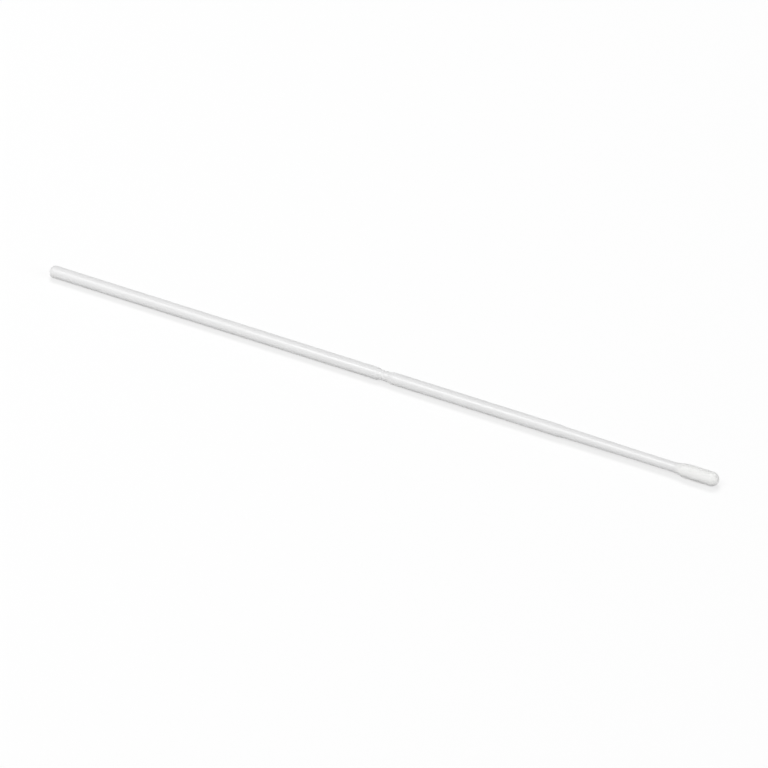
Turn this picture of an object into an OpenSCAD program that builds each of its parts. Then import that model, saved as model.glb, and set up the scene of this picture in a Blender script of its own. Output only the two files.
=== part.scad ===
// Flocked specimen swab: a one-piece moulded plastic stick with a break point halfway
// along it, and a tip of short fibres bonded round its far end.
// It lies on a flat surface, along X, with the handle towards -X and the tip towards +X.
// All sizes are in millimetres.

/* [Stick] */
// Length of the swab, from the gate mark to the end of the tip
swab_l = 150; // [130:1:180]
// Diameter of the stick's handle, and of its stem beyond the break point
stick_d = 2.5; // [2.3:0.05:3]

/* [Handle end] */
// Radius round the edge of the handle's end
end_round_r = 0.85; // [0.2:0.05:0.9]
// Diameter of the gate mark that moulding leaves on the end
gate_d = 0.7; // [0.3:0.05:1]
// Height of the gate mark
gate_h = 0.15; // [0.05:0.01:0.4]

/* [Break point] */
// Distance from the score line to the end of the tip
score_from_tip = 74.8; // [50:0.1:100]
// Width of the score line at its mouth
score_w = 0.5; // [0.1:0.05:0.8]
// Depth of the score line below the waist
score_depth = 0.1; // [0.05:0.01:0.3]
// Length of the slope from the handle down to the waist
shoulder_l = 0.7; // [0.4:0.05:1.5]
// Length of the waist from that slope to the score line
land_l = 0.5; // [0.1:0.05:1.5]
// Diameter of the waist
waist_d = 2.1; // [1.6:0.05:2.2]
// Length of the waist from the score line to the slope up to the stem
waist_l = 0.9; // [0.5:0.05:4]
// Length of the slope from the waist up to the stem
rise_l = 1; // [0.5:0.1:2]

/* [Taper and neck] */
// Distance from the step at the end of the stem to the end of the tip
step_from_tip = 35.4; // [26:0.1:60]
// Length of the step's slope
step_l = 0.8; // [0.2:0.1:2]
// Diameter at the foot of the step, where the taper begins
taper_d = 2.3; // [2.1:0.02:2.4]
// Diameter of the neck, and of the core that it runs on as inside the tip
neck_d = 2.04; // [1.6:0.02:2.1]
// Length of the neck between the taper and the tip
neck_l = 9.5; // [2:0.5:14]

/* [Flocked tip] */
// Length of the tip
tip_l = 9.6; // [7:0.1:14]
// Largest diameter of the tip
tip_d = 3.06; // [3:0.01:4]
// Distance from the tip's fattest place to its end
fattest_from_tip = 5.2; // [4:0.1:6.5]
// How much smaller the nose's radius is than the tip's
nose_inset = 0.05; // [0.02:0.01:0.3]
// Length of the thin flock at the back of the tip
thin_l = 1.3; // [0.5:0.05:2]
// Thickness of the flock where the thin stretch ends
thin_t = 0.24; // [0.1:0.01:0.3]
// Thickness of the flock at its back edge
edge_t = 0.04; // [0.02:0.01:0.1]
// Length of the rounded shoulder between the thin flock and the barrel
tip_shoulder_l = 0.8; // [0.5:0.05:1.2]
// How much smaller the barrel's radius is at the shoulder than at its fattest place
barrel_inset = 0.06; // [0.01:0.01:0.1]
// Thickness of the flock over the end of the core
nose_t = 0.7; // [0.4:0.05:1.5]
// Radius round the edge of the core's end
core_round_r = 0.7; // [0.2:0.05:0.75]
// Gap between the core and the flock, which is bonded straight on to it
bond_gap = 0; // [0:0.01:0.04]

/* [Hidden] */
$fn = 96;

stick_r = stick_d / 2;
flat_r = stick_r - end_round_r;
gate_r = gate_d / 2;
waist_r = waist_d / 2;
score_r = waist_r - score_depth;
taper_r = taper_d / 2;
neck_r = neck_d / 2;
thin_r = neck_r + thin_t;
tip_r = tip_d / 2;
barrel_r = tip_r - barrel_inset;
nose_r = tip_r - nose_inset;

// Stations along the axis, counted from the face of the gate mark
edge_at = gate_h + end_round_r;
score_at = swab_l - score_from_tip;
score_start = score_at - score_w / 2;
score_end = score_at + score_w / 2;
shoulder_end = score_start - land_l;
shoulder_start = shoulder_end - shoulder_l;
waist_end = score_end + waist_l;
stem_start = waist_end + rise_l;
stem_end = swab_l - step_from_tip;
taper_start = stem_end + step_l;
tip_start = swab_l - tip_l;
neck_start = tip_start - neck_l;
thin_end = tip_start + thin_l;
barrel_start = thin_end + tip_shoulder_l;
fattest_at = swab_l - fattest_from_tip;
nose_at = swab_l - nose_r;
core_end = swab_l - nose_t;

// The barrel narrows towards the nose along the line that touches the nose's sphere
nose_reach = nose_at - fattest_at;
nose_slope = atan(tip_r / nose_reach) - asin(nose_r / norm([tip_r, nose_reach]));
nose_start = nose_at + nose_r * sin(nose_slope);

// The swab lies on the rounded edge of its handle and the fattest place of its tip, so its
// axis rises along the line that touches the edge's arc and the fattest place from below
rest_run = fattest_at - edge_at;
rest_rise = tip_r - stick_r + end_round_r;
rest_tilt = atan(rest_rise / rest_run) - asin(end_round_r / norm([rest_run, rest_rise]));
rest_h = tip_r * cos(rest_tilt) - (fattest_at - swab_l / 2) * sin(rest_tilt);

// The seam of each turned solid lies near the swab's side, this angle round from its
// underside, so that the swab doesn't rest on it
seam_turn = 77;

// Profiles are drawn with the swab's axis along Y and its radii along X. Each is an outline
// of straight lines, with slices of discs that fill some of its chords out to round arcs.

// Slice of a disc between two stations, outside the radius called inner
module disc_slice(centre, r, from, to, inner = 0) {
    intersection() {
        translate(centre) circle(r);
        translate([inner, from]) square([centre.x + 2 * r, to - from]);
    }
}

// Slice that fills the chord from a wall down to a foot behind it: its arc leaves the wall
// without a corner
module falling_arc(wall_r, wall_at, foot_r, foot_at) {
    run = wall_at - foot_at;
    drop = wall_r - foot_r;
    r = (run * run + drop * drop) / (2 * drop);
    disc_slice([wall_r - r, wall_at], r, foot_at, wall_at);
}

// Handle, break point, stem and taper, as far as the end of the neck
module stick_profile() {
    polygon([
        [0, 0],
        [gate_r, 0],
        [gate_r, gate_h],
        [flat_r, gate_h],
        [stick_r, edge_at],
        [stick_r, shoulder_start],
        [waist_r, shoulder_end],
        [waist_r, score_start],
        [score_r, score_at],
        [waist_r, score_end],
        [waist_r, waist_end],
        [stick_r, stem_start],
        [stick_r, stem_end],
        [taper_r, taper_start],
        [neck_r, neck_start],
        [neck_r, tip_start],
        [0, tip_start],
    ]);
    disc_slice([flat_r, edge_at], end_round_r, 0, edge_at, flat_r);
}

// Neck and core that carry the flock or, with a gap, the socket that they fill
module core_profile(gap = 0) {
    r = neck_r + gap;
    end_at = core_end + gap;
    round_r = core_round_r + gap;
    inner = r - round_r;
    round_at = end_at - round_r;
    polygon([[0, neck_start], [r, neck_start], [r, round_at], [inner, end_at], [0, end_at]]);
    disc_slice([inner, round_at], round_r, round_at, swab_l, inner);
}

module tip_profile() {
    polygon([
        [0, tip_start],
        [neck_r + edge_t, tip_start],
        [thin_r, thin_end],
        [barrel_r, barrel_start],
        [tip_r, fattest_at],
        [nose_r * cos(nose_slope), nose_start],
        [0, swab_l],
    ]);
    falling_arc(barrel_r, barrel_start, thin_r, thin_end);
    disc_slice([0, nose_at], nose_r, nose_start, swab_l + nose_r);
}

// Turns a profile about the swab's axis and lays the swab down. The turn starts and ends at
// the seam.
module lying() {
    translate([0, 0, rest_h])
        rotate([0, 90 - rest_tilt, 0])
            translate([0, 0, -swab_l / 2])
                rotate([0, 0, seam_turn])
                    rotate_extrude()
                        children();
}

module shaft() {
    color([0.93, 0.93, 0.93])
        lying() {
            stick_profile();
            core_profile();
        }
}

module flocked_tip() {
    color([0.97, 0.97, 0.96])
        lying()
            difference() {
                tip_profile();
                core_profile(bond_gap);
            }
}

shaft();
flocked_tip();
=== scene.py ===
"""Looks of a flocked specimen swab: a moulded plastic stick with a break point and a flocked tip.

The swab lies along X with its handle towards -X. Lengths are in metres. Stations are counted
along the swab's own axis, from the face of the gate mark on the handle to the end of the tip.
"""

import math

import bpy
from mathutils import Matrix, Vector


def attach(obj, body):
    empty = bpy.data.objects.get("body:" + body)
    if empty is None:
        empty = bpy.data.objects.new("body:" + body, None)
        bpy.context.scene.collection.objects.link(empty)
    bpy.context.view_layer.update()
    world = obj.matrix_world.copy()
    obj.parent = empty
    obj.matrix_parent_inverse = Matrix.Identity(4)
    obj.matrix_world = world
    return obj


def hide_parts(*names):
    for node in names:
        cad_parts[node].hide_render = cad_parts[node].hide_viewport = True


MM = 0.001

# ---- Sizes of the swab ----

# Handle and its gate mark
SWAB_LENGTH = 150 * MM
STICK_R = 1.25 * MM
END_ROUND_R = 0.85 * MM
GATE_R = 0.35 * MM
GATE_HEIGHT = 0.15 * MM
GATE_EASE = 0.05 * MM

# Break point: slope down to the waist, land, score line, waist and rise to the stem
SCORE_AT = SWAB_LENGTH - 74.8 * MM
SCORE_WIDTH = 0.5 * MM
SHOULDER_LENGTH = 0.7 * MM
LAND_LENGTH = 0.5 * MM
WAIST_R = 1.05 * MM
SCORE_R = WAIST_R - 0.1 * MM
WAIST_LENGTH = 0.9 * MM
RISE_LENGTH = 1 * MM
BREAK_EASE = 0.1 * MM

# Step at the end of the stem, taper, neck and core. The ease also rounds the foot and the top
# of the rise to the stem.
STEM_END = SWAB_LENGTH - 35.4 * MM
STEP_LENGTH = 0.8 * MM
TAPER_R = 1.15 * MM
NECK_R = 1.02 * MM
NECK_LENGTH = 9.5 * MM
STEM_EASE = 0.25 * MM
CORE_END = SWAB_LENGTH - 0.7 * MM
CORE_ROUND_R = 0.7 * MM

# Raised mould seam down two opposite sides of the stick
SEAM_HEIGHT = 0.006 * MM
SEAM_TURN = math.radians(30)

# Flocked tip
TIP_START = SWAB_LENGTH - 9.6 * MM
THIN_LENGTH = 1.3 * MM
THIN_R = NECK_R + 0.24 * MM
EDGE_R = NECK_R + 0.04 * MM
TIP_SHOULDER_LENGTH = 0.8 * MM
TIP_R = 1.53 * MM
BARREL_R = TIP_R - 0.06 * MM
FATTEST_AT = SWAB_LENGTH - 5.2 * MM
NOSE_R = TIP_R - 0.05 * MM

# Depth of the flock's ground under the outside of its fibres. Their roots lie a little deeper,
# so that none of them shows.
PILE_DEPTH = 0.13 * MM
ROOT_DEPTH = PILE_DEPTH * 1.15

# Single fibres. Each narrows to a share of its thickness, bends aside by a share of its length
# and leans by up to an angle. Their lengths vary between two shares of the usual one.
FIBRE_LENGTH = 0.18 * MM
FIBRE_THICKNESS = 0.014 * MM
FIBRE_TIP_SHARE = 0.55
FIBRE_BEND = 0.22
FIBRE_LEAN = math.radians(38)
SHORTEST_FIBRE = 0.7
LONGEST_FIBRE = 1.1

# Least gap between two roots, and how many roots a square metre is tried with
FIBRE_SPACING = 0.045 * MM
FIBRE_DENSITY = 1.8e8

# Share of the fibres, and of their length, that is left at the flock's back edge
THINNEST_PILE = 0.35

# ---- Making ----

# Sides of a turned form, and the radius of the ring that its outline is swept round
SIDES = 96
RING_R = 1 * MM
MERGE_WITHIN = 0.0001 * MM

# Steps round each curved part of an outline, and how many roundings fit along a side of it
END_STEPS = 14
CORE_STEPS = 8
TIP_SHOULDER_STEPS = 10
NOSE_STEPS = 24
EASE_STEPS = 4
ROUNDINGS_PER_SIDE = 2.2

# Angle between faces above which an edge stays crisp
STICK_CRISP_ABOVE = math.radians(35)
FLOCK_CRISP_ABOVE = math.radians(60)

ROOTS_SEED = 7
LENGTH_SEED = 5
TONE_SEED = 9

# ---- Finishes, with tones as grey levels from 0 to 1 ----

# Tone and roughness of the plastic vary between two values in patches, which are drawn out
# along the swab. Its relief adds a fine grain to long lines, whose share is counted against
# the grain's.
PLASTIC_TONES = (0.765, 0.785)
PLASTIC_ROUGHNESS = (0.34, 0.42)
PLASTIC_PATCH = 2.2 * MM
PLASTIC_STRETCH = 6.0
PLASTIC_GRAIN = 0.09 * MM
DRAWN_LINE_LENGTH = 25 * MM
DRAWN_LINES_ROUND = 9.0
DRAWN_LINE_SHARE = 1.5
PLASTIC_RELIEF = 0.004 * MM

# Plastic whitens and dulls where it was strained, at the score line: fully up to the first
# distance from it, and no more from the second
WHITENED_TONE = 0.8
WHITENED_SHARE = 0.6
WHITENED_DULLING = 0.25
WHITENED_FROM = 0.1 * MM
WHITENED_UNTIL = 0.6 * MM

# Tones of the flock vary in patches, and each fibre lies between them and its own tone.
# Warmth is how much less blue there is than red and green.
FLOCK_TONES = (0.89, 0.91)
FLOCK_WARMTH = 0.01
FLOCK_PATCH = 0.8 * MM
FLOCK_ROUGHNESS = 0.7
FIBRE_TONE = 0.95
FIBRE_WARMTH = 0.005
TUFT_SIZE = 0.08 * MM
TUFT_RELIEF = 0.03 * MM

# The flock fades in from bare plastic over this length from its back edge
FADE_LENGTH = 1.6 * MM
BARE_TONE = 0.78
BARE_ROUGHNESS = 0.38

# ---- Floor, world and camera ----

# The floor reflects its tone on to the swab. To the camera it is darker, so that the swab's
# shadow stays faint, and a light of its own lifts it to white.
FLOOR_HALF = 4
FLOOR_TONE = 0.41
FLOOR_TONE_SEEN = 0.12
FLOOR_LIFT = 0.752
WORLD_LEVEL = 0.28

# The camera's direction is in degrees, and its lens and sensor in millimetres. The lens is so
# long that the view is almost parallel. Its aim is a little off the middle of the swab's axis.
AZIMUTH = 28.51
ELEVATION = 35.74
LENS = 1600
SENSOR = 36
VIEW_WIDTH = 151.48 * MM
AXIS_HEIGHT = 1.39 * MM
AIM_RIGHT = 0.182 * MM
AIM_UP = -1.719 * MM

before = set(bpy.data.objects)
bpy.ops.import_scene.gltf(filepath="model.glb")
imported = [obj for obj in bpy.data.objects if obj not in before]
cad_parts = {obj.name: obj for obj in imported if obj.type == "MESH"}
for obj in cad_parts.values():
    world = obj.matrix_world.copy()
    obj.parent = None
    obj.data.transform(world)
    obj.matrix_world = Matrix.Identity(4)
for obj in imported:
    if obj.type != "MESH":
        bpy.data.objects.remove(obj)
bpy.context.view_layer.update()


def lying():
    """Matrix that lays the swab down: stations along Z become stations along its sloping axis.

    The swab rests on the rounded edge of its handle and on the fattest place of its tip.
    """
    edge_at = GATE_HEIGHT + END_ROUND_R
    run = FATTEST_AT - edge_at
    rise = TIP_R - STICK_R + END_ROUND_R
    tilt = math.atan2(rise, run) - math.asin(END_ROUND_R / math.hypot(run, rise))
    height = TIP_R * math.cos(tilt) - (FATTEST_AT - SWAB_LENGTH / 2) * math.sin(tilt)
    lifted = Matrix.Translation((0, 0, height))
    turned = Matrix.Rotation(math.pi / 2 - tilt, 4, "Y")
    return lifted @ turned @ Matrix.Translation((0, 0, -SWAB_LENGTH / 2))


LYING = lying()


# ---- Outlines: lists of (station, radius) ----

def arc(centre, r, start, end, steps):
    """Arc about a centre, from start to end in degrees, turned from +radius to +station."""
    turns = [math.radians(start + (end - start) * i / steps) for i in range(steps + 1)]
    return [(centre[0] + r * math.sin(a), centre[1] + r * math.cos(a)) for a in turns]


def rising_arc(foot_at, foot_r, wall_at, wall_r, steps):
    """Arc that rises from a foot and meets the straight wall after it without a corner."""
    run, rise = wall_at - foot_at, wall_r - foot_r
    r = (run * run + rise * rise) / (2 * rise)
    return arc((wall_at, wall_r - r), r, -math.degrees(math.asin(run / r)), 0, steps)


def eased(outline, corners, length):
    """Outline with some of its corners rounded over the given length on either side.

    A rounding takes less than half of a short side, so that two of them never meet.
    """
    out = []
    for i, point in enumerate(outline):
        if i not in corners:
            out.append(point)
            continue
        here, before, after = Vector(point), Vector(outline[i - 1]), Vector(outline[i + 1])
        shortest = min((before - here).length, (after - here).length)
        cut = min(length, shortest / ROUNDINGS_PER_SIDE)
        a = here + (before - here).normalized() * cut
        b = here + (after - here).normalized() * cut
        for k in range(EASE_STEPS + 1):
            f = k / EASE_STEPS
            out.append(tuple(a * (1 - f) ** 2 + here * (2 * f * (1 - f)) + b * f * f))
    return out


def core_end():
    """Rounded end of the core, from its wall to its middle."""
    centre = (CORE_END - CORE_ROUND_R, NECK_R - CORE_ROUND_R)
    return [*arc(centre, CORE_ROUND_R, 0, 90, CORE_STEPS), (CORE_END, 0)]


def stick_outline():
    """Outside of the stick, from the middle of its gate mark to the middle of its core's end."""
    flat_r = STICK_R - END_ROUND_R
    edge_at = GATE_HEIGHT + END_ROUND_R
    score_start = SCORE_AT - SCORE_WIDTH / 2
    score_end = SCORE_AT + SCORE_WIDTH / 2
    shoulder_end = score_start - LAND_LENGTH
    waist_end = score_end + WAIST_LENGTH
    gate = [(0, 0), (0, GATE_R), (GATE_HEIGHT, GATE_R), (GATE_HEIGHT, flat_r)]
    end = arc((edge_at, flat_r), END_ROUND_R, -90, 0, END_STEPS)
    rest = [
        end[-1],
        (shoulder_end - SHOULDER_LENGTH, STICK_R),
        (shoulder_end, WAIST_R),
        (score_start, WAIST_R),
        (SCORE_AT, SCORE_R),
        (score_end, WAIST_R),
        (waist_end, WAIST_R),
        (waist_end + RISE_LENGTH, STICK_R),
        (STEM_END, STICK_R),
        (STEM_END + STEP_LENGTH, TAPER_R),
        (TIP_START - NECK_LENGTH, NECK_R),
        (TIP_START, NECK_R),
    ]
    # The later corners are rounded first, so that the earlier ones keep their places in the list
    rest = eased(rest, range(6, 11), STEM_EASE)
    rest = eased(rest, range(1, 6), BREAK_EASE)
    return [*eased(gate, [1, 2], GATE_EASE), *end[1:-1], *rest, *core_end()]


def pile_outline(depth):
    """Outside of the flock, sunk by a depth, from its back edge to the middle of its nose."""
    thin_end = TIP_START + THIN_LENGTH
    nose_at = SWAB_LENGTH - NOSE_R
    reach = nose_at - FATTEST_AT
    slope = math.atan2(TIP_R, reach) - math.asin(NOSE_R / math.hypot(TIP_R, reach))
    barrel_start = thin_end + TIP_SHOULDER_LENGTH
    outside = [
        (TIP_START, EDGE_R),
        *rising_arc(thin_end, THIN_R, barrel_start, BARREL_R, TIP_SHOULDER_STEPS),
        (FATTEST_AT, TIP_R),
        *arc((nose_at, 0), NOSE_R, math.degrees(slope), 90, NOSE_STEPS),
    ]
    sunk = []
    for at, r in outside:
        inwards = Vector((max(0, at - nose_at), r)).normalized()
        half_flock = (r - NECK_R) / 2
        here = Vector((at, r)) - inwards * min(depth, half_flock if at < nose_at else depth)
        sunk.append((here.x, max(0, here.y)))
    return sunk


def flock_outline():
    """Closed ground of the flock: back along the core from its end, then over the outside."""
    return [*reversed(core_end()), (TIP_START, NECK_R), *pile_outline(PILE_DEPTH)]


# ---- Node trees ----

def new_tree(name, kind, inputs, outputs):
    """Empty node group with named sockets, given as a title and the kind of each."""
    tree = bpy.data.node_groups.new(name, kind)
    for way, sockets in (("INPUT", inputs), ("OUTPUT", outputs)):
        for title, socket_kind in sockets.items():
            tree.interface.new_socket(title, in_out=way, socket_type="NodeSocket" + socket_kind)
    given = tree.nodes.new("NodeGroupInput").outputs
    result = tree.nodes.new("NodeGroupOutput").inputs
    return tree, given, result


def add(tree, kind, inputs=None, **settings):
    """Adds a node with its settings. An input is a plain value or a socket to link from."""
    node = tree.nodes.new(kind)
    for key, value in settings.items():
        setattr(node, key, value)
    for key, value in (inputs or {}).items():
        if isinstance(value, bpy.types.NodeSocket):
            tree.links.new(value, node.inputs[key])
        else:
            node.inputs[key].default_value = value
    return node


def calc(tree, operation, *values):
    """Output of a Math node."""
    return add(tree, "ShaderNodeMath", dict(enumerate(values)), operation=operation).outputs[0]


def vector(tree, **parts):
    """Output of a Combine XYZ node."""
    return add(tree, "ShaderNodeCombineXYZ", parts).outputs[0]


def point_place(tree):
    """X, Y and Z of each point, by name."""
    position = add(tree, "GeometryNodeInputPosition").outputs[0]
    return add(tree, "ShaderNodeSeparateXYZ", {0: position}).outputs


def turned_form_tree():
    """Turns an outline about Z, with a raised mould seam down two opposite sides of it."""
    tree, given, result = new_tree(
        "turned_form",
        "GeometryNodeTree",
        {"Outline": "Geometry", "Sides": "Int", "Ring Radius": "Float", "Seam Height": "Float",
         "Seam Turn": "Float", "Sharp Above": "Float", "Material": "Material"},
        {"Mesh": "Geometry"},
    )
    outline = add(tree, "GeometryNodeMeshToCurve", {"Mesh": given["Outline"]})
    ring = add(tree, "GeometryNodeCurvePrimitiveCircle",
               {"Resolution": given["Sides"], "Radius": given["Ring Radius"]}, mode="RADIUS")
    ring = add(tree, "GeometryNodeSetCurveNormal", {"Curve": ring.outputs["Curve"]}, mode="Z_UP")
    swept = add(tree, "GeometryNodeCurveToMesh",
                {"Curve": ring.outputs["Curve"], "Profile Curve": outline.outputs["Curve"]})
    closed = add(tree, "GeometryNodeMergeByDistance",
                 {"Geometry": swept.outputs["Mesh"], "Distance": MERGE_WITHIN})
    closed = add(tree, "GeometryNodeFlipFaces", {"Mesh": closed.outputs["Geometry"]})

    place = point_place(tree)
    turn = calc(tree, "ARCTAN2", place["Y"], place["X"])
    past_seam = calc(tree, "SUBTRACT", turn, given["Seam Turn"])
    facing = calc(tree, "ABSOLUTE", calc(tree, "COSINE", past_seam))
    quarter_side = calc(tree, "DIVIDE", math.pi / 2, given["Sides"])
    on_seam = calc(tree, "GREATER_THAN", facing, calc(tree, "COSINE", quarter_side))
    raised = calc(tree, "DIVIDE", given["Seam Height"], STICK_R)
    raised = calc(tree, "MULTIPLY", on_seam, raised)
    outwards = vector(tree, X=place["X"], Y=place["Y"])
    offset = add(tree, "ShaderNodeVectorMath", {0: outwards, "Scale": raised}, operation="SCALE")
    seamed = add(tree, "GeometryNodeSetPosition",
                 {"Geometry": closed.outputs["Mesh"], "Offset": offset.outputs["Vector"]})

    smooth = add(tree, "GeometryNodeSetShadeSmooth",
                 {"Geometry": seamed.outputs["Geometry"]}, domain="FACE")
    angle = add(tree, "GeometryNodeInputMeshEdgeAngle").outputs["Unsigned Angle"]
    crisp = calc(tree, "GREATER_THAN", angle, given["Sharp Above"])
    creased = add(tree, "GeometryNodeSetShadeSmooth",
                  {"Geometry": smooth.outputs["Geometry"], "Selection": crisp,
                   "Shade Smooth": False}, domain="EDGE")
    done = add(tree, "GeometryNodeSetMaterial",
               {"Geometry": creased.outputs["Geometry"], "Material": given["Material"]})
    tree.links.new(done.outputs["Geometry"], result["Mesh"])
    return tree


def bent_fibre(tree, given):
    """One fibre: a slim cone that stands on its root and bends towards X, more at its tip."""
    half = calc(tree, "MULTIPLY", given["Fibre Thickness"], 0.5)
    top = calc(tree, "MULTIPLY", half, FIBRE_TIP_SHARE)
    fibre = add(tree, "GeometryNodeMeshCone",
                {"Vertices": 3, "Side Segments": 2, "Radius Top": top, "Radius Bottom": half,
                 "Depth": given["Fibre Length"]}, fill_type="NGON")
    along = calc(tree, "DIVIDE", point_place(tree)["Z"], given["Fibre Length"])
    most = calc(tree, "MULTIPLY", given["Fibre Length"], FIBRE_BEND)
    bend = calc(tree, "MULTIPLY", calc(tree, "MULTIPLY", along, along), most)
    bent = add(tree, "GeometryNodeSetPosition",
               {"Geometry": fibre.outputs["Mesh"], "Offset": vector(tree, X=bend)})
    finished = add(tree, "GeometryNodeSetMaterial",
                   {"Geometry": bent.outputs["Geometry"], "Material": given["Material"]})
    return finished.outputs["Geometry"]


def leaning(tree, given, upright):
    """Rotation of each fibre: turned anyhow about its root and leaning by up to a given angle."""
    back = calc(tree, "MULTIPLY", given["Lean"], -1.0)
    swing = add(tree, "FunctionNodeRandomValue",
                {"Min": vector(tree, X=back, Y=back, Z=-math.pi),
                 "Max": vector(tree, X=given["Lean"], Y=given["Lean"], Z=math.pi),
                 "Seed": given["Seed"]}, data_type="FLOAT_VECTOR")
    swing = add(tree, "FunctionNodeEulerToRotation", {"Euler": swing.outputs["Value"]})
    stance = add(tree, "FunctionNodeRotateRotation",
                 {"Rotation": upright, "Rotate By": swing.outputs["Rotation"]},
                 rotation_space="LOCAL")
    return stance.outputs["Rotation"]


def pile_tree(turned_form):
    """Covers a turned outline with short leaning fibres, fewer and shorter at its back edge."""
    tree, given, result = new_tree(
        "flock_pile",
        "GeometryNodeTree",
        {"Outline": "Geometry", "Sides": "Int", "Ring Radius": "Float", "Spacing": "Float",
         "Density": "Float", "Fibre Length": "Float", "Fibre Thickness": "Float", "Lean": "Float",
         "Thin Until": "Float", "Thin From": "Float", "Seed": "Int", "Material": "Material"},
        {"Mesh": "Geometry"},
    )
    ground = add(tree, "GeometryNodeGroup", node_tree=turned_form)
    for title in ("Outline", "Sides", "Ring Radius"):
        tree.links.new(given[title], ground.inputs[title])
    fullness = add(tree, "ShaderNodeMapRange",
                   {"Value": point_place(tree)["Z"], "From Min": given["Thin From"],
                    "From Max": given["Thin Until"], "To Min": THINNEST_PILE, "To Max": 1.0})
    roots = add(tree, "GeometryNodeDistributePointsOnFaces",
                {"Mesh": ground.outputs["Mesh"], "Distance Min": given["Spacing"],
                 "Density Max": given["Density"], "Density Factor": fullness.outputs["Result"],
                 "Seed": given["Seed"]},
                distribute_method="POISSON")
    fibre = bent_fibre(tree, given)
    stance = leaning(tree, given, roots.outputs["Rotation"])
    uneven = add(tree, "FunctionNodeRandomValue",
                 {2: SHORTEST_FIBRE, 3: LONGEST_FIBRE, "Seed": LENGTH_SEED}, data_type="FLOAT")
    length = calc(tree, "MULTIPLY", fullness.outputs["Result"], uneven.outputs[1])
    planted = add(tree, "GeometryNodeInstanceOnPoints",
                  {"Points": roots.outputs["Points"], "Instance": fibre, "Rotation": stance,
                   "Scale": vector(tree, X=1.0, Y=1.0, Z=length)})
    shade = add(tree, "FunctionNodeRandomValue",
                {2: 0.0, 3: 1.0, "Seed": TONE_SEED}, data_type="FLOAT")
    toned = add(tree, "GeometryNodeStoreNamedAttribute",
                {"Geometry": planted.outputs["Instances"], "Name": "fibre_tone",
                 "Value": shade.outputs[1]}, data_type="FLOAT", domain="INSTANCE")
    real = add(tree, "GeometryNodeRealizeInstances", {"Geometry": toned.outputs["Geometry"]})
    smooth = add(tree, "GeometryNodeSetShadeSmooth",
                 {"Geometry": real.outputs["Geometry"]}, domain="FACE")
    done = add(tree, "GeometryNodeSetMaterial",
               {"Geometry": smooth.outputs["Geometry"], "Material": given["Material"]})
    tree.links.new(done.outputs["Geometry"], result["Mesh"])
    return tree


def made_by(tree, name, outline, values):
    """Object whose mesh a tree makes from an outline, laid down in the swab's place.

    The outline is drawn with its radii along X, from the ring that it is swept round, and its
    stations along -Y, which the sweep turns to Z.
    """
    drawn = bpy.data.meshes.new(name)
    corners = [(r - RING_R, -at, 0) for at, r in outline]
    drawn.from_pydata(corners, [(i, i + 1) for i in range(len(corners) - 1)], [])
    piece = bpy.data.objects.new(name, drawn)
    bpy.context.scene.collection.objects.link(piece)
    modifier = piece.modifiers.new(tree.name, "NODES")
    modifier.node_group = tree
    for item in tree.interface.items_tree:
        if item.in_out == "INPUT" and item.name in values:
            modifier[item.identifier] = values[item.name]
    graph = bpy.context.evaluated_depsgraph_get()
    mesh = bpy.data.meshes.new_from_object(piece.evaluated_get(graph), depsgraph=graph)
    piece.modifiers.remove(modifier)
    piece.data = mesh
    mesh.name = name
    drop_empty_slots(mesh)
    mesh.transform(LYING)
    bpy.data.meshes.remove(drawn)
    return piece


def drop_empty_slots(mesh):
    """Removes the slots with no material that a cone brings with it."""
    for i in reversed(range(len(mesh.materials))):
        if not mesh.materials[i]:
            mesh.materials.pop(index=i)


# ---- Materials ----

def mottle_group():
    """Soft uneven patches, from 0 to 1, of a given size and stretched along the swab.

    The noise seldom leaves its middle, from 0.3 to 0.7, which is spread over the whole mask.
    """
    tree, given, result = new_tree(
        "soft_mottle", "ShaderNodeTree",
        {"Vector": "Vector", "Patch Size": "Float", "Stretch": "Float"}, {"Mask": "Float"})
    squeezed = vector(tree, X=calc(tree, "DIVIDE", 1.0, given["Stretch"]), Y=1.0, Z=1.0)
    spread = add(tree, "ShaderNodeVectorMath", {0: given["Vector"], 1: squeezed},
                 operation="MULTIPLY")
    scale = calc(tree, "DIVIDE", 1.0, given["Patch Size"])
    noise = add(tree, "ShaderNodeTexNoise",
                {"Vector": spread.outputs[0], "Scale": scale, "Detail": 3.0, "Roughness": 0.55})
    mask = add(tree, "ShaderNodeMapRange",
               {"Value": noise.outputs[0], "From Min": 0.3, "From Max": 0.7},
               interpolation_type="SMOOTHSTEP")
    tree.links.new(mask.outputs["Result"], result["Mask"])
    return tree


def material(name, **sockets):
    """Material with a Principled shader, whose plain values are set on its own sockets."""
    made = bpy.data.materials.new(name)
    made.use_nodes = True
    shader = made.node_tree.nodes["Principled BSDF"]
    for title, value in sockets.items():
        shader.inputs[title.replace("_", " ")].default_value = value
    return made, made.node_tree, shader


def swab_coordinates(tree):
    """Object coordinates turned so that X runs along the swab's axis from the gate mark."""
    upright = Matrix.Rotation(math.pi / 2, 4, "Y") @ LYING.inverted()
    coords = add(tree, "ShaderNodeTexCoord").outputs["Object"]
    return add(tree, "ShaderNodeMapping",
               {"Vector": coords, "Location": upright.to_translation(),
                "Rotation": upright.to_euler()}).outputs["Vector"]


def mottled(tree, mottle, along, patch, stretch):
    """Mask of soft patches from the shared group."""
    values = {"Vector": along, "Patch Size": patch, "Stretch": stretch}
    return add(tree, "ShaderNodeGroup", values, node_tree=mottle).outputs["Mask"]


def blended(tree, factor, a, b):
    """Colour between a and b."""
    return add(tree, "ShaderNodeMix", {0: factor, 6: a, 7: b}, data_type="RGBA").outputs[2]


def ranged(tree, value, low, high, start=0.0, end=1.0, **settings):
    """Value moved from the range between start and end to the one between low and high."""
    node = add(tree, "ShaderNodeMapRange",
               {"Value": value, "From Min": start, "From Max": end, "To Min": low, "To Max": high},
               **settings)
    return node.outputs["Result"]


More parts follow.
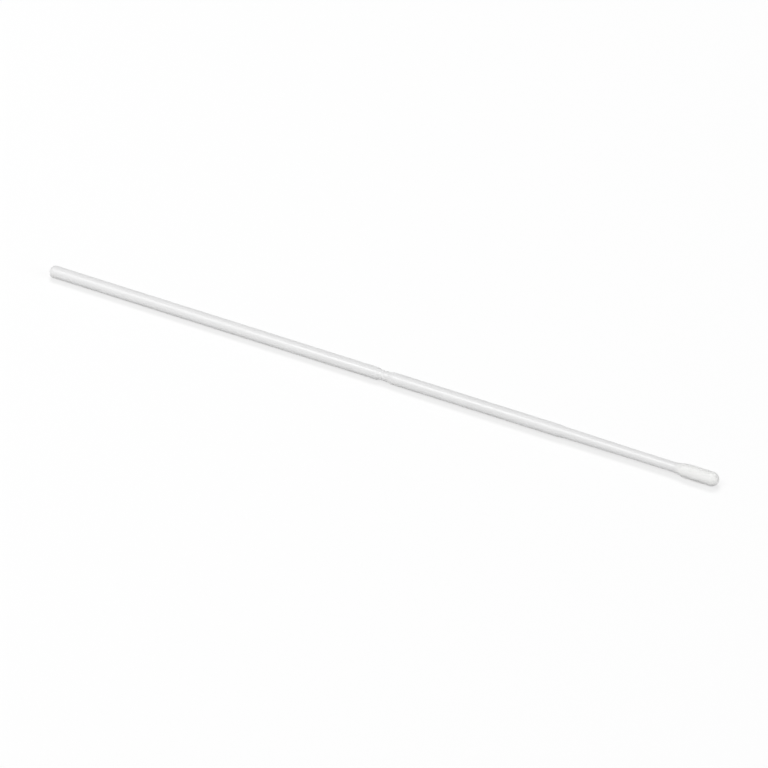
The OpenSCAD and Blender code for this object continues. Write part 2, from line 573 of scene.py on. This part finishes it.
def grey(level, warmth=0.0):
    """Grey with a little less blue where it is warm."""
    return (level, level, level - warmth, 1)


def strained(tree, along_axis):
    """Mask of the plastic that whitens, round the score line."""
    from_score = calc(tree, "ABSOLUTE", calc(tree, "SUBTRACT", along_axis, SCORE_AT))
    return ranged(tree, from_score, WHITENED_SHARE, 0.0, WHITENED_FROM, WHITENED_UNTIL,
                  interpolation_type="SMOOTHSTEP")


def moulded_relief(tree, along, place):
    """Height of the moulded surface: a fine grain, and long lines drawn along the swab."""
    grain = add(tree, "ShaderNodeTexNoise",
                {"Vector": along, "Scale": 1 / PLASTIC_GRAIN, "Detail": 2.0, "Roughness": 0.5})
    turn = calc(tree, "ARCTAN2", place["Y"], place["Z"])
    lengthwise = vector(tree, X=calc(tree, "DIVIDE", place["X"], DRAWN_LINE_LENGTH),
                        Y=calc(tree, "SINE", turn), Z=calc(tree, "COSINE", turn))
    lines = add(tree, "ShaderNodeTexNoise",
                {"Vector": lengthwise, "Scale": DRAWN_LINES_ROUND, "Detail": 3.0})
    lines = calc(tree, "MULTIPLY", lines.outputs[0], DRAWN_LINE_SHARE)
    return calc(tree, "ADD", grain.outputs[0], lines)


def plastic(mottle):
    """Satin white plastic, a little see-through, whitened at the score line."""
    made, tree, shader = material(
        "satin_plastic", IOR=1.49, Subsurface_Weight=0.25, Subsurface_Scale=0.4 * MM,
        Subsurface_Radius=(1, 1, 1))
    along = swab_coordinates(tree)
    patches = mottled(tree, mottle, along, PLASTIC_PATCH, PLASTIC_STRETCH)
    place = add(tree, "ShaderNodeSeparateXYZ", {0: along}).outputs
    whitened = strained(tree, place["X"])
    tone = blended(tree, patches, *map(grey, PLASTIC_TONES))
    tone = blended(tree, whitened, tone, grey(WHITENED_TONE))
    rough = ranged(tree, patches, *PLASTIC_ROUGHNESS)
    rough = calc(tree, "ADD", rough, calc(tree, "MULTIPLY", whitened, WHITENED_DULLING))
    bump = add(tree, "ShaderNodeBump",
               {"Height": moulded_relief(tree, along, place), "Strength": 0.5,
                "Distance": PLASTIC_RELIEF})
    tree.links.new(tone, shader.inputs["Base Color"])
    tree.links.new(rough, shader.inputs["Roughness"])
    tree.links.new(bump.outputs["Normal"], shader.inputs["Normal"])
    return made


def flock(name):
    """Material of matt fibres, still without its colour."""
    return material(name, IOR=1.53, Roughness=FLOCK_ROUGHNESS, Sheen_Weight=0.1)


def flock_white(tree, mottle, along):
    """Colour of thick flock, a little uneven in soft patches."""
    patches = mottled(tree, mottle, along, FLOCK_PATCH, 1.0)
    return blended(tree, patches, *(grey(level, FLOCK_WARMTH) for level in FLOCK_TONES))


def flock_cover(tree, along):
    """Mask of how well the flock covers the plastic: from 0 at its back edge to 1."""
    place = add(tree, "ShaderNodeSeparateXYZ", {0: along}).outputs
    return ranged(tree, place["X"], 0.0, 1.0, TIP_START, TIP_START + FADE_LENGTH,
                  interpolation_type="SMOOTHSTEP")


def flock_ground(mottle):
    """Finish of the matted ground: tufts in its relief, fading in from bare plastic."""
    made, tree, shader = flock("flock_ground")
    along = swab_coordinates(tree)
    cover = flock_cover(tree, along)
    tone = blended(tree, cover, grey(BARE_TONE), flock_white(tree, mottle, along))
    rough = ranged(tree, cover, BARE_ROUGHNESS, FLOCK_ROUGHNESS)
    tufts = add(tree, "ShaderNodeTexNoise",
                {"Vector": along, "Scale": 1 / TUFT_SIZE, "Detail": 3.0, "Roughness": 0.7})
    bump = add(tree, "ShaderNodeBump",
               {"Height": calc(tree, "MULTIPLY", tufts.outputs[0], cover), "Strength": 0.8,
                "Distance": TUFT_RELIEF})
    tree.links.new(tone, shader.inputs["Base Color"])
    tree.links.new(rough, shader.inputs["Roughness"])
    tree.links.new(bump.outputs["Normal"], shader.inputs["Normal"])
    return made


def flock_fibre(mottle):
    """Finish of the fibres, each of them lighter than the ground by a share of its own."""
    made, tree, shader = flock("flock_fibre")
    along = swab_coordinates(tree)
    own = add(tree, "ShaderNodeAttribute", attribute_name="fibre_tone").outputs["Fac"]
    tone = blended(tree, own, flock_white(tree, mottle, along), grey(FIBRE_TONE, FIBRE_WARMTH))
    tone = blended(tree, flock_cover(tree, along), grey(BARE_TONE), tone)
    tree.links.new(tone, shader.inputs["Base Color"])
    return made


# ---- Pieces ----

def make_stick(turned_form, finish):
    """The stick, with its core, in place of the plain solid."""
    piece = made_by(turned_form, "stick", stick_outline(), {
        "Sides": SIDES, "Ring Radius": RING_R, "Seam Height": SEAM_HEIGHT, "Seam Turn": SEAM_TURN,
        "Sharp Above": STICK_CRISP_ABOVE, "Material": finish})
    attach(piece, "root")
    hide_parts("shaft")


def make_flock(turned_form, finish):
    """Matted ground of the flock, in place of the plain solid."""
    ground = made_by(turned_form, "flock_ground", flock_outline(), {
        "Sides": SIDES, "Ring Radius": RING_R, "Sharp Above": FLOCK_CRISP_ABOVE,
        "Material": finish})
    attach(ground, "root")
    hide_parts("flocked_tip")


def make_fibres(pile, finish):
    """Fibres that stand out of the ground."""
    fibres = made_by(pile, "flock_fibres", pile_outline(ROOT_DEPTH), {
        "Sides": SIDES, "Ring Radius": RING_R, "Spacing": FIBRE_SPACING,
        "Density": FIBRE_DENSITY, "Fibre Length": FIBRE_LENGTH,
        "Fibre Thickness": FIBRE_THICKNESS, "Lean": FIBRE_LEAN, "Thin From": TIP_START,
        "Thin Until": TIP_START + THIN_LENGTH + TIP_SHOULDER_LENGTH, "Seed": ROOTS_SEED,
        "Material": finish})
    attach(fibres, "root")


# ---- Studio ----

def shows_white(tree):
    """1 for rays that should see a plain white surround: camera, glossy and transmission rays."""
    rays = add(tree, "ShaderNodeLightPath").outputs
    seen = calc(tree, "MAXIMUM", rays["Is Camera Ray"], rays["Is Glossy Ray"])
    return calc(tree, "MAXIMUM", seen, rays["Is Transmission Ray"])


def make_floor():
    """Plain floor under the swab, white where it is seen and shadowed by the swab."""
    mesh = bpy.data.meshes.new("floor")
    across = (-FLOOR_HALF, FLOOR_HALF)
    corners = [(x, y, 0) for x in across for y in across]
    mesh.from_pydata(corners, [], [(0, 2, 3, 1)])
    floor = bpy.data.objects.new("floor", mesh)
    bpy.context.scene.collection.objects.link(floor)
    made = bpy.data.materials.new("pale_floor")
    made.use_nodes = True
    tree = made.node_tree
    tree.nodes.clear()
    seen = shows_white(tree)
    tone = blended(tree, seen, grey(FLOOR_TONE), grey(FLOOR_TONE_SEEN))
    paper = add(tree, "ShaderNodeBsdfDiffuse", {"Color": tone})
    lift = add(tree, "ShaderNodeEmission",
               {"Color": grey(1), "Strength": calc(tree, "MULTIPLY", seen, FLOOR_LIFT)})
    both = add(tree, "ShaderNodeAddShader", {0: paper.outputs[0], 1: lift.outputs[0]})
    add(tree, "ShaderNodeOutputMaterial", {"Surface": both.outputs[0]})
    mesh.materials.append(made)
    return floor


def make_world():
    """Even surround: white where it is seen, and a soft fill light on the swab."""
    world = bpy.data.worlds.new("studio")
    bpy.context.scene.world = world
    world.use_nodes = True
    tree = world.node_tree
    tree.nodes.clear()
    level = ranged(tree, shows_white(tree), WORLD_LEVEL, 1.0)
    sky = add(tree, "ShaderNodeBackground", {"Color": grey(1), "Strength": level})
    add(tree, "ShaderNodeOutputWorld", {"Surface": sky.outputs[0]})


def make_lamp(name, place, turned, size, level, lit=None):
    """Soft light. Turned is in degrees, from a lamp that shines straight down.

    Level is about what the lamp adds to a white surface that faces it. A lamp with something
    named as lit lights that alone, and everything still casts its shadow there.
    """
    light = bpy.data.lights.new(name, "AREA")
    light.shape = "RECTANGLE"
    light.size, light.size_y = size
    light.energy = level * math.pi ** 2 * Vector(place).length_squared
    lamp = bpy.data.objects.new(name, light)
    lamp.location = place
    lamp.rotation_euler = [math.radians(turn) for turn in turned]
    lamp.visible_camera = False
    bpy.context.scene.collection.objects.link(lamp)
    if lit:
        alone = bpy.data.collections.new(name + "_lights")
        alone.objects.link(lit)
        lamp.light_linking.receiver_collection = alone


def make_camera():
    """Long lens that looks down on the swab from its tip's side."""
    a, e = math.radians(AZIMUTH), math.radians(ELEVATION)
    back = Vector((math.sin(a) * math.cos(e), -math.cos(a) * math.cos(e), math.sin(e)))
    camera = bpy.data.cameras.new("camera")
    camera.lens = LENS
    camera.sensor_width = SENSOR
    distance = LENS / SENSOR * VIEW_WIDTH
    camera.clip_start, camera.clip_end = distance / 10, distance * 10
    holder = bpy.data.objects.new("camera", camera)
    bpy.context.scene.collection.objects.link(holder)
    turn = back.to_track_quat("Z", "Y")
    aim = Vector((0, 0, AXIS_HEIGHT)) + turn @ Vector((AIM_RIGHT, AIM_UP, 0))
    holder.location = aim + back * distance
    holder.rotation_euler = turn.to_euler()
    bpy.context.scene.camera = holder


turned_form = turned_form_tree()
mottle = mottle_group()
make_stick(turned_form, plastic(mottle))
make_flock(turned_form, flock_ground(mottle))
make_fibres(pile_tree(turned_form), flock_fibre(mottle))
floor = make_floor()
make_world()
make_lamp("key", place=(-0.3, -0.49, 0.87), turned=(29.4, 0, 0), size=(0.8, 0.3), level=0.735)
make_lamp("tip", place=(0.9, 0, 0.43), turned=(0, 64.5, 0), size=(0.6, 0.6), level=0.3)
make_lamp("shadow", place=(-0.6, 0.82, 1.82), turned=(-24, 0, 0), size=(1.2, 0.7), level=1.24,
          lit=floor)
make_camera()
bpy.context.scene.view_settings.view_transform = "Standard"
